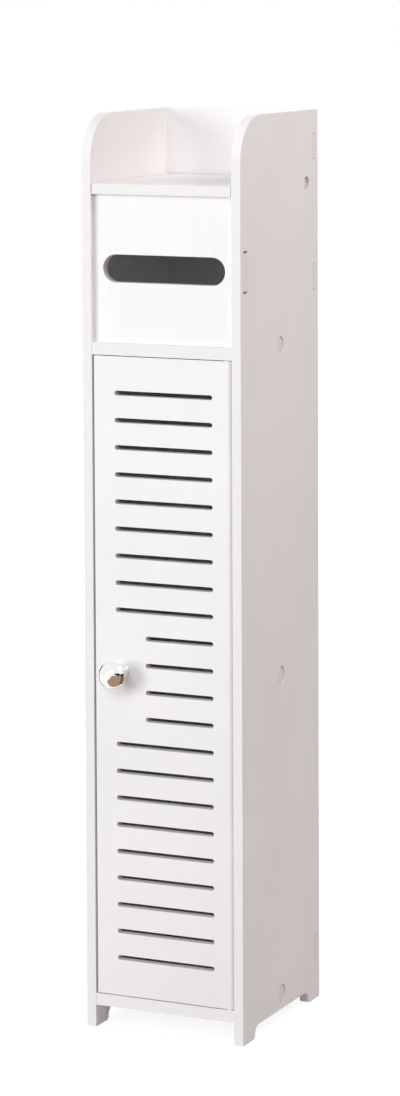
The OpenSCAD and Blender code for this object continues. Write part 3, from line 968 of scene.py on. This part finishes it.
@dataclass
class ShelfFixings(Assembly):
    """Screws, caps and dowels at both ends of the three shelves."""

    head_r: float = 4.0 * MM
    head_h: float = 2.4 * MM
    screw_r: float = 2.0 * MM
    screw_bite: float = 30.0 * MM
    cap_r: float = 8.0 * MM
    cap_rim: float = 3.0 * MM
    cap_wall: float = 1.0 * MM
    cap_crown: float = 0.35 * MM
    dowel_r: float = 2.5 * MM
    dowel_bite: float = 15.0 * MM
    dowel_spread: float = 42.0 * MM
    flutes: int = 12
    flute_depth: float = 0.14 * MM

    def build(self) -> list[Object]:
        """Builds the three groups of fixings."""
        return [
            self.dress(self._screws(), Slot.ZINC, Body.CARCASS, "shelf_screws"),
            self.dress(self._caps(), Slot.NYLON, Body.CARCASS, "screw_caps"),
            self.dress(self._dowels(), Slot.BEECH, Body.CARCASS, "shelf_dowels"),
        ]

    @staticmethod
    def _at_ends(shape: np.ndarray, start: float, shift: float = 0.0) -> list[np.ndarray]:
        """Copies a local shape to both ends of each shelf, with local Z towards the middle.

        Args:
            shape: The local grid.
            start: Distance of the local origin from the middle of the cabinet.
            shift: Distance behind the side panels' middle.

        Returns:
            Six placed grids.
        """
        back = corners("right_side_panel")[:, 1].mean() + shift
        levels = [corners(shelf)[:, 2].mean()
                  for shelf in ("bottom_shelf", "inner_shelf", "middle_shelf")]
        return [stand(shape, [side * start, back, level], [-side, 0, 0])
                for level in levels for side in (1.0, -1.0)]

    def _screws(self) -> Object:
        """Six pan-headed screws with a coarse thread."""
        face = corners("shelf_screws")[1, 0] - self.head_h
        length = face - corners("bottom_shelf")[1, 0] + self.screw_bite
        screw = CrossHeadScrew(
            head_r=self.head_r, head_h=self.head_h, countersunk=False, crest_r=self.screw_r,
            core_r=1.35 * MM, length=length, pitch=1.8 * MM, plain=1.0 * MM, tip=4.0 * MM)
        return grid_object("shelf_screw_set", self._at_ends(screw.grid(32), face))

    def _caps(self) -> Object:
        """Six cups with a faintly crowned face and a rounded rim."""
        face = corners("screw_caps")[1, 0]
        depth = face - corners("shelf_screws")[1, 0] + self.head_h
        round_r = 0.4 * MM
        wall_in = self.cap_r - self.cap_rim
        edge = self.cap_crown
        crown_r = (self.cap_r ** 2 + edge ** 2) / (2.0 * edge)
        swing = math.degrees(math.asin((self.cap_r - round_r) / crown_r))
        crown = arc([0.0, crown_r], crown_r, -90, -90 + swing, 12)
        crown[0, 0] = 0.0
        profile = np.concatenate([
            crown,
            arc([self.cap_r - round_r, edge + round_r], round_r, -70, 0, 6),
            [[self.cap_r, depth], [wall_in, depth], [wall_in, self.cap_wall + edge],
             [0.0, self.cap_wall + edge]],
        ])
        return grid_object("screw_cap_set", self._at_ends(revolve(profile, 64), face))

    def _dowels(self) -> Object:
        """Twelve fluted dowels: the radius falls by a wave's depth in each flute."""
        outer = corners("shelf_dowels")[1, 0]
        length = outer - corners("bottom_shelf")[1, 0] + self.dowel_bite
        angle = np.linspace(0.0, TURN, 96, endpoint=False)[None, :]
        flute = 0.5 + 0.5 * np.cos(self.flutes * angle)
        chamfer = 0.8 * MM
        rows = [(0.0, 0.0, 0.0), (0.0, self.dowel_r - chamfer, 0.0),
                (chamfer, self.dowel_r, 0.3), (1.5 * chamfer, self.dowel_r, 1.0),
                (length - 1.5 * chamfer, self.dowel_r, 1.0),
                (length - chamfer, self.dowel_r, 0.3),
                (length, self.dowel_r - chamfer, 0.0), (length, 0.0, 0.0)]
        height, radius, depth = (np.array(part)[:, None] for part in zip(*rows))
        shape = wound(radius - self.flute_depth * depth * flute, angle, height)
        spread = self.dowel_spread
        return grid_object("shelf_dowel_set", self._at_ends(shape, outer, spread)
                           + self._at_ends(shape, outer, -spread), 24.0)


@dataclass
class MagneticCatch(Assembly):
    """The catch under the middle shelf and the strike plate on the door's back."""

    screw_r: float = 1.5 * MM
    head_r: float = 2.9 * MM
    head_h: float = 1.4 * MM

    def build(self) -> list[Object]:
        """Builds the catch, the strike plate and their screws."""
        solids = [
            (SoftenedSolid("catch_housing", Axis.Z, 0.5), Slot.NYLON, Body.CARCASS),
            (SoftenedSolid("catch_magnet", Axis.Z, 0.25), Slot.FERRITE, Body.CARCASS),
            (SoftenedSolid("catch_pole_plates", Axis.Z, 0.15), Slot.ZINC, Body.CARCASS),
            (SoftenedSolid("strike_plate", Axis.Y, 0.2), Slot.ZINC, Body.DOOR)]
        made = [self.dress(solid.build(), slot, body, solid.node)
                for solid, slot, body in solids]
        return made + [
            self.dress(self._catch_screws(), Slot.ZINC, Body.CARCASS, "catch_screws"),
            self.dress(self._strike_screw(), Slot.ZINC, Body.DOOR, "strike_screw")]

    def _screw(self, length: float) -> CrossHeadScrew:
        """A small countersunk screw of a given length."""
        return CrossHeadScrew(
            head_r=self.head_r, head_h=self.head_h, countersunk=True, crest_r=self.screw_r,
            core_r=1.05 * MM, length=length, pitch=1.0 * MM, plain=self.head_h, tip=1.6 * MM,
            recess=0.9 * MM)

    def _catch_screws(self) -> Object:
        """The two screws that hold the catch up to the shelf."""
        low, high = corners("catch_screws")
        middle_y = (low[1] + high[1]) / 2.0
        shape = self._screw(high[2] - low[2]).grid(32)
        return grid_object("catch_screw_pair", [
            stand(shape, [at_x, middle_y, low[2]], [0, 0, 1])
            for at_x in (low[0] + self.head_r, high[0] - self.head_r)])

    def _strike_screw(self) -> Object:
        """The screw that holds the strike plate to the door."""
        low, high = corners("strike_screw")
        middle = (low + high) / 2.0
        shape = self._screw(high[1] - low[1]).grid(32)
        return grid_object("strike_plate_screw", [
            stand(shape, [middle[0], high[1], middle[2]], [0, -1, 0])])


# ----- Studio ------------------------------------------------------


@dataclass(frozen=True)
class SoftBox:
    """A square area lamp that faces a point of the cabinet.

    Azimuth is measured from straight in front, towards the cabinet's right.
    """

    name: str
    azimuth: float
    elevation: float
    distance: float
    size: float
    watts: float
    tint: str = "#ffffff"
    aim: tuple[float, float, float] = (0.0, 0.0, 0.42)

    def build(self) -> Object:
        """Builds the lamp."""
        turn, tilt = math.radians(self.azimuth), math.radians(self.elevation)
        way = Vector((math.sin(turn) * math.cos(tilt), -math.cos(turn) * math.cos(tilt),
                      math.sin(tilt)))
        lamp = bpy.data.lights.new(self.name, "AREA")
        lamp.shape = "SQUARE"
        lamp.size = self.size
        lamp.energy = self.watts
        lamp.color = linear(self.tint)[:3]
        made = placed(self.name, lamp)
        made.location = Vector(self.aim) + way * self.distance
        made.rotation_euler = (-way).to_track_quat("-Z", "Y").to_euler()
        made.visible_camera = False
        return made


@dataclass
class PhotoCamera:
    """The photograph's camera, found by fitting a perspective camera to the cabinet's edges."""

    place: tuple[float, float, float] = (1.297886, -2.759844, 0.920579)
    yaw: float = 0.438150
    pitch: float = 0.076241
    roll: float = -0.004526
    focal_px: float = 3508.87
    frame_px: tuple[int, int] = (400, 1096)
    centre_px: tuple[float, float] = (200.0, 241.04)
    sensor_mm: float = 36.0

    def build(self) -> Object:
        """Builds the camera and makes it the scene's own."""
        wide, tall = self.frame_px
        lens = bpy.data.cameras.new("photo_camera")
        lens.sensor_width = self.sensor_mm
        lens.lens = self.focal_px * self.sensor_mm / tall
        lens.shift_x = (wide / 2.0 - self.centre_px[0]) / tall
        lens.shift_y = (self.centre_px[1] - tall / 2.0) / tall
        lens.clip_end = 60.0
        ahead = Vector((-math.sin(self.yaw) * math.cos(self.pitch),
                        math.cos(self.yaw) * math.cos(self.pitch), -math.sin(self.pitch)))
        right = Vector((math.cos(self.yaw), math.sin(self.yaw), 0.0))
        above = right.cross(ahead)
        rolled_right = right * math.cos(self.roll) + above * math.sin(self.roll)
        rolled_up = above * math.cos(self.roll) - right * math.sin(self.roll)
        turned = Matrix((rolled_right, rolled_up, -ahead)).transposed().to_4x4()
        made = placed("photo_camera", lens)
        made.matrix_world = Matrix.Translation(self.place) @ turned
        bpy.context.scene.camera = made
        return made


@dataclass(frozen=True)
class MirrorCard:
    """A card that glows with its own tone and that only glossy rays see: a painted reflection for
    the chrome to mirror.
    """

    name: str
    tone: str
    outline: tuple[tuple[float, float, float], ...]

    @classmethod
    def upright(cls, name: str, tone: str, start: tuple[float, float],
                end: tuple[float, float], low: float, high: float) -> "MirrorCard":
        """Stands a card over the line from start to end, between two heights."""
        return cls(name, tone, ((*start, low), (*end, low), (*end, high), (*start, high)))

    def build(self) -> Object:
        """Builds the card."""
        material, tree = blank_material(self.name)
        # The card glows with its tone and only glossy rays see it, so it is a painted reflection
        # and lights nothing
        tone = add_node(tree, "Emission", {"Color": linear(self.tone)})
        add_node(tree, "OutputMaterial", {"Surface": tone.outputs["Emission"]})
        material.cycles.emission_sampling = "NONE"
        mesh = bpy.data.meshes.new(self.name)
        mesh.from_pydata(self.outline, [], [tuple(range(len(self.outline)))])
        mesh.materials.append(material)
        card = placed(self.name, mesh)
        card.visible_camera = False
        card.visible_diffuse = False
        card.visible_shadow = False
        return card


@dataclass
class Studio:
    """Floor, sky, lamps, and glowing cards that paint reflections into the chrome: plain soft light
    on a white sweep.
    """

    sky_strength: float = 0.34
    sky_tint: str = "#fffefd"
    floor_half: float = 12.0
    lamps: tuple[SoftBox, ...] = (
        SoftBox("key", -28.0, 9.0, 3.8, 1.7, 57.0, "#f7fbff"),
        SoftBox("front_fill", 4.0, 28.0, 4.2, 1.7, 51.0, "#f7fbff"),
        SoftBox("side_fill", 85.0, 42.0, 1.4, 0.6, 9.0, "#fff3ef", (0.0, 0.0, 0.7)),
        SoftBox("rear_fill", 212.0, 22.0, 3.8, 1.7, 28.0),
    )
    # Painted reflections that the knob mirrors: dark cards on its horizon, a grey rim behind, a
    # warm lower half with a darker part
    cards: tuple[MirrorCard, ...] = (
        MirrorCard.upright("horizon_card_left", "#0a0a0a", (1.549, -2.981), (2.157, -2.547),
                           1.05, 1.75),
        MirrorCard.upright("horizon_card_middle", "#050505", (2.09, -2.473), (2.916, -1.294),
                           0.55, 1.6),
        MirrorCard.upright("horizon_card_right", "#120e0a", (2.916, -1.294), (3.118, 0.35),
                           0.45, 1.0),
        MirrorCard.upright("rear_card", "#2c2c2c", (-1.7, 0.75), (-0.6, 1.8), 0.0, 1.5),
        MirrorCard("rear_floor_card", "#2c2c2c", (
            (-0.13, 0.0, 0.003), (-0.13, 0.6, 0.003), (-0.6, 1.8, 0.003),
            (-1.7, 0.75, 0.003))),
        MirrorCard("warm_card", "#b08f7b", (
            (-0.11, -0.13, 0.003), (0.12, -0.08, 0.003), (3.2, 0.6, 0.4), (3.6, -1.0, 0.65),
            (3.0, -3.3, 0.7), (0.6, -3.4, 0.7), (-0.32, -0.5, 0.003))),
        MirrorCard("warm_card_shade", "#7b604f", (
            (0.06, -0.1, 0.006), (3.2, 0.6, 0.41), (3.6, -1.0, 0.66))),
    )

    def build(self) -> None:
        """Builds the studio."""
        self._floor()
        self._sky()
        for lamp in self.lamps:
            lamp.build()
        for card in self.cards:
            card.build()
        bpy.context.scene.view_settings.view_transform = "Standard"

    def _floor(self) -> None:
        """A wide flat floor at the cabinet's feet."""
        half = self.floor_half
        mesh = bpy.data.meshes.new("floor")
        mesh.from_pydata([(-half, -half, 0.0), (half, -half, 0.0), (half, half, 0.0),
                          (-half, half, 0.0)], [], [(0, 1, 2, 3)])
        mesh.materials.append(WhiteSweep().build())
        placed("floor", mesh)

    def _sky(self) -> None:
        """A plain sky: white to the eye, and a soft fill to everything else."""
        world = bpy.data.worlds.new("studio_sky")
        world.use_nodes = True
        tree = world.node_tree
        tree.nodes.clear()
        fill = add_node(tree, "Background", {
            "Color": linear(self.sky_tint), "Strength": self.sky_strength})
        white = add_node(tree, "Background", {"Color": (1.0, 1.0, 1.0, 1.0), "Strength": 1.0})
        mixed = add_node(tree, "MixShader", {
            0: seen_ray(tree), 1: fill.outputs["Background"], 2: white.outputs["Background"]})
        add_node(tree, "OutputWorld", {"Surface": mixed.outputs["Shader"]})
        bpy.context.scene.world = world


def main() -> None:
    """Builds the cabinet's looks and the studio around them."""
    logging.basicConfig(level=logging.INFO, format="%(name)s: %(message)s", force=True)
    finishes = Finishes()
    PhotoCamera().build()
    for assembly in (Carcass(finishes), LidFlap(finishes), DoorLeaf(finishes), Knob(finishes),
                     ShelfFixings(finishes), MagneticCatch(finishes)):
        made = assembly.build()
        LOG.info("%s: %d pieces", type(assembly).__name__, len(made))
    Studio().build()


if __name__ == "__main__":
    main()
